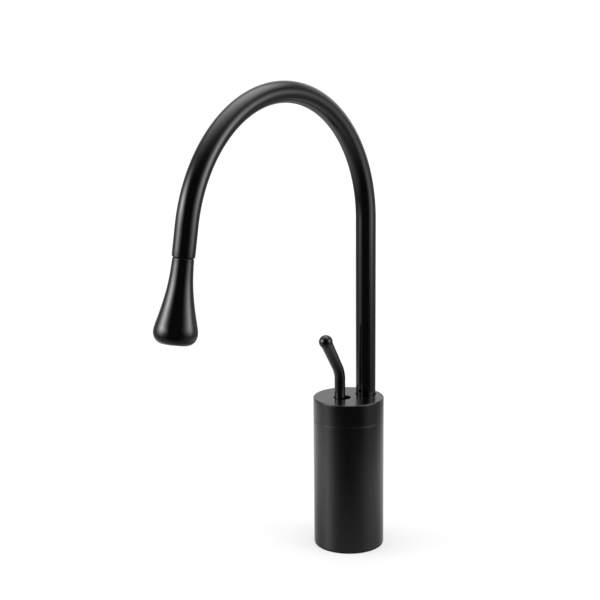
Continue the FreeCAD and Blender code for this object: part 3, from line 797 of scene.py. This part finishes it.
def softbox_material(name, level, squareness):
    """Panel that shines as exp(-(|x|^p + |y|^p)) over its unit plane: the edges fade, the rest is clear."""
    material = bpy.data.materials.new(name)
    tree, surface = empty_tree(material, "ShaderNodeOutputMaterial")
    parts = tree.nodes.new("ShaderNodeSeparateXYZ")
    tree.links.new(coordinates(tree), parts.inputs[0])
    powers = [
        math_node(tree, "POWER", math_node(tree, "ABSOLUTE", parts.outputs[axis]), squareness)
        for axis in ("X", "Y")
    ]
    fall = math_node(tree, "MULTIPLY", math_node(tree, "ADD", *powers), -1.0)
    shine = math_node(tree, "MULTIPLY", math_node(tree, "EXPONENT", fall), level)
    tree.links.new(added(tree, see_through(tree), ray_glow(tree, "Glossy", shine)), surface)
    return material


def seen_floor(tree, place):
    """Floor for the camera: it takes the shadow, and a little light of its own lifts it to plain white.

    The lamps reach less of it further out, so the lift grows there.
    """
    diffuse = tree.nodes.new("ShaderNodeBsdfDiffuse")
    diffuse.inputs["Color"].default_value = (0.5, 0.5, 0.5, 1)
    lift = ramp(tree, measured(tree, "LENGTH", place), (0.2, 2.2), (0.485, 0.8))
    return added(tree, diffuse.outputs[0], ray_glow(tree, "Camera", lift))


def table_with_painted_glow(tree, place, toward, left):
    """Table for reflections: a slightly glossy top whose pale glow, seen only in reflections, is painted
    light that changes toward each side; it fades out within half a metre.
    """
    ahead = measured(tree, "DOT_PRODUCT", place, toward)
    leftward = measured(tree, "DOT_PRODUCT", place, left)
    # levels of the painted glow over distances in metres: toward the camera, to the left, to the right, and
    # close to the foot
    tones = (
        (ahead, (-0.25, 0.25), (0.7, 0.16)),
        (leftward, (0.0, 0.25), (0.0, 0.445)),
        (leftward, (-0.25, 0.0), (1.15, 0.0)),
        (measured(tree, "LENGTH", place), (0.14, 0.2), (0.06, 0.0)),
    )
    pale = 0.0
    for distance, span, levels in tones:
        pale = math_node(tree, "ADD", pale, ramp(tree, distance, span, levels))
    gloss = 1.5
    fresnel = tree.nodes.new("ShaderNodeFresnel")
    fresnel.inputs["IOR"].default_value = 1.16
    mirror = tree.nodes.new("ShaderNodeBsdfGlossy")
    mirror.inputs["Roughness"].default_value = 0.1
    tree.links.new(math_node(tree, "MULTIPLY", fresnel.outputs[0], gloss), mirror.inputs["Color"])
    # the pale glow that reflections see here is painted light on the table
    table = added(tree, mirror.outputs[0], ray_glow(tree, "Glossy", pale))
    # its middle lies to the left of the column and behind it
    middle = 0.114 * left - 0.083 * toward
    gone = ramp(tree, measured(tree, "DISTANCE", place, middle), (0.0, 0.5), (0.0, 1.0))
    return blend(tree, gone, table, see_through(tree))


def studio_floor_material(toward, left):
    """Floor that the camera sees as plain white with the object's shadow, and reflections as a table with a
    painted glow.
    """
    material = bpy.data.materials.new("studio floor")
    tree, surface = empty_tree(material, "ShaderNodeOutputMaterial")
    place = coordinates(tree)
    seen = seen_floor(tree, place)
    reflected = table_with_painted_glow(tree, place, toward, left)
    tree.links.new(blend(tree, is_ray(tree, "Glossy"), seen, reflected), surface)
    return material


class MIXER_OT_stage(bpy.types.Operator):
    """Sets the floor, the soft light and the camera at the photograph's angle"""

    bl_idname = "mixer.stage"
    bl_label = "Set the stage"

    # the sight line is turned by this much from X toward -Y; it gives the level directions toward the camera
    # and to the right of the picture
    front = np.radians(31.5)
    toward = Vector((np.cos(front), -np.sin(front), 0.0))
    right = Vector((np.sin(front), np.cos(front), 0.0))
    # fitted place of the camera in metres, and its yaw, pitch and roll in radians
    camera_place = Vector((0.7494, -0.4593, 0.3607))
    camera_turn = (-0.0384, 0.204, -0.0098)
    # what the lamps look at, and half the floor's side
    middle = Vector((0.03, -0.05, 0.12))
    floor_reach = 30.0

    def execute(self, context):
        scene = context.scene
        self.sheet("floor", self.floor_reach, studio_floor_material(self.toward, -self.right))
        self.world(scene)
        self.lamp("key_softbox", place=(-0.55, -0.95, 0.75), size=0.9, power=4.6)
        self.lamp("fill_softbox", place=(1.05, 0.75, 0.7), size=0.9, power=6.0)
        self.lamp("top_softbox", place=(0.0, 0.0, 1.5), size=1.4, power=13.0)
        self.upright(
            "left_panel", azimuth=-72.5, distance=2.5, height=1.117,
            half=(0.939, 0.756), level=10.4, squareness=1.52,
        )
        self.upright(
            "right_panel", azimuth=70.8, distance=0.472, height=0.319,
            half=(0.2, 0.157), level=5.0, squareness=1.7,
        )
        self.upright(
            "rear_panel", azimuth=171.8, distance=2.4, height=1.117,
            half=(3.01, 0.906), level=0.631, squareness=4.0,
        )
        self.overhead(
            "top_panel", offset=(-0.69, 0.36), height=2.5,
            half=(1.298, 1.883), level=3.51, squareness=2.07,
        )
        self.camera(scene)
        scene.view_settings.view_transform = "Standard"
        return {"FINISHED"}

    def sheet(self, name, r, material):
        """Square sheet at height 0, reaching r to each side of its middle."""
        mesh = bpy.data.meshes.new(name)
        mesh.from_pydata([(-r, -r, 0), (r, -r, 0), (r, r, 0), (-r, r, 0)], [], [(0, 1, 2, 3)])
        mesh.materials.append(material)
        sheet = bpy.data.objects.new(name, mesh)
        bpy.context.scene.collection.objects.link(sheet)
        return sheet

    def panel(self, name, centre, along, up, half, level, squareness):
        """Panel that only reflections see: a plane whose own unit is the half width and half height."""
        # a squarer panel fades sooner past its unit, so its sheet is smaller
        reach = 2.4 if squareness < 3 else 1.4
        sheet = self.sheet(name, reach, softbox_material(name.replace("_", " "), level, squareness))
        turn = Matrix([along, up, along.cross(up)]).transposed().to_4x4()
        sheet.matrix_world = Matrix.Translation(centre) @ turn @ Matrix.Diagonal((*half, 1.0, 1.0))
        sheet.visible_camera = False
        sheet.visible_diffuse = False
        sheet.visible_shadow = False
        sheet.visible_transmission = False

    def upright(self, name, azimuth, distance, height, **light):
        """Standing panel; its azimuth is counted from the camera to the right of the picture."""
        a = np.radians(azimuth)
        facing = self.toward * np.cos(a) + self.right * np.sin(a)
        along = self.right * np.cos(a) - self.toward * np.sin(a)
        self.panel(name, facing * distance + UP * height, along, UP, **light)

    def overhead(self, name, offset, height, **light):
        """Lying panel; its offset is toward the camera and to the right of the picture."""
        centre = self.toward * offset[0] + self.right * offset[1] + UP * height
        self.panel(name, centre, self.toward, self.right, **light)

    def lamp(self, name, place, size, power):
        """Square soft lamp that looks at the middle of the mixer; gloss reads the panels instead."""
        light = bpy.data.lights.new(name, "AREA")
        light.shape = "SQUARE"
        light.size = size
        light.energy = power
        lamp = bpy.data.objects.new(name, light)
        lamp.location = place
        lamp.rotation_mode = "QUATERNION"
        lamp.rotation_quaternion = (self.middle - Vector(place)).to_track_quat("-Z", "Y")
        lamp.visible_glossy = False
        bpy.context.scene.collection.objects.link(lamp)

    def world(self, scene):
        """White for the camera, a plain half level for soft light, and a dim room for reflections."""
        scene.world = bpy.data.worlds.new("studio")
        tree, surface = empty_tree(scene.world, "ShaderNodeOutputWorld")
        facing = measured(tree, "DOT_PRODUCT", coordinates(tree, "Generated"), self.toward)
        white = background(tree, 1.0)
        soft = background(tree, 0.5)
        # the room is darker on the camera's side
        room = background(tree, ramp(tree, facing, (0.295, 0.795), (0.29, 0.055)))
        other = blend(tree, is_ray(tree, "Glossy"), soft, room)
        tree.links.new(blend(tree, is_ray(tree, "Camera"), other, white), surface)

    def camera(self, scene):
        """Camera that looks back along the sight line, turned by the fitted yaw, pitch and roll."""
        yaw, pitch, roll = self.camera_turn
        level = self.right * np.sin(yaw) - self.toward * np.cos(yaw)
        ahead = level * np.cos(pitch) - UP * np.sin(pitch)
        side = self.right * np.cos(yaw) + self.toward * np.sin(yaw)
        down = ahead.cross(side)
        own_x = side * np.cos(roll) - down * np.sin(roll)
        own_y = -side * np.sin(roll) - down * np.cos(roll)
        turn = Matrix([own_x, own_y, -ahead]).transposed().to_4x4()
        data = bpy.data.cameras.new("camera")
        data.sensor_width = SENSOR_MM
        data.lens = FOCAL_PX / PHOTO_PX * SENSOR_MM
        camera = bpy.data.objects.new("camera", data)
        camera.matrix_world = Matrix.Translation(self.camera_place) @ turn
        scene.collection.objects.link(camera)
        scene.camera = camera


# Add-on


class MIXER_PT_panel(bpy.types.Panel):
    """Lists the steps that build the mixer."""

    bl_label = "Mixer"
    bl_idname = "MIXER_PT_panel"
    bl_space_type = "VIEW_3D"
    bl_region_type = "UI"
    bl_category = "Mixer"

    def draw(self, context):
        for group in GROUPS:
            settings = getattr(context.scene, group)
            box = self.layout.box()
            for name in settings.__annotations__:
                box.prop(settings, name)
        for step in STEPS:
            self.layout.operator(step.bl_idname)


GROUPS = {
    "mixer_column": MixerColumn,
    "mixer_lever": MixerLever,
    "mixer_spout": MixerSpout,
    "mixer_finish": MixerFinish,
}
STEPS = (
    MIXER_OT_inner,
    MIXER_OT_column,
    MIXER_OT_cap,
    MIXER_OT_lever,
    MIXER_OT_spout,
    MIXER_OT_nozzle,
    MIXER_OT_stage,
)


def register():
    for cls in (*GROUPS.values(), *STEPS, MIXER_PT_panel):
        bpy.utils.register_class(cls)
    for name, cls in GROUPS.items():
        setattr(bpy.types.Scene, name, bpy.props.PointerProperty(type=cls))


def unregister():
    for name in GROUPS:
        delattr(bpy.types.Scene, name)
    for cls in (MIXER_PT_panel, *reversed(STEPS), *reversed(list(GROUPS.values()))):
        bpy.utils.unregister_class(cls)


def main():
    """Builds the mixer and its stage."""
    register()
    bpy.ops.mixer.inner()
    bpy.ops.mixer.column()
    bpy.ops.mixer.cap()
    bpy.ops.mixer.lever()
    bpy.ops.mixer.spout()
    bpy.ops.mixer.nozzle()
    bpy.ops.mixer.stage()


if __name__ == "__main__":
    main()
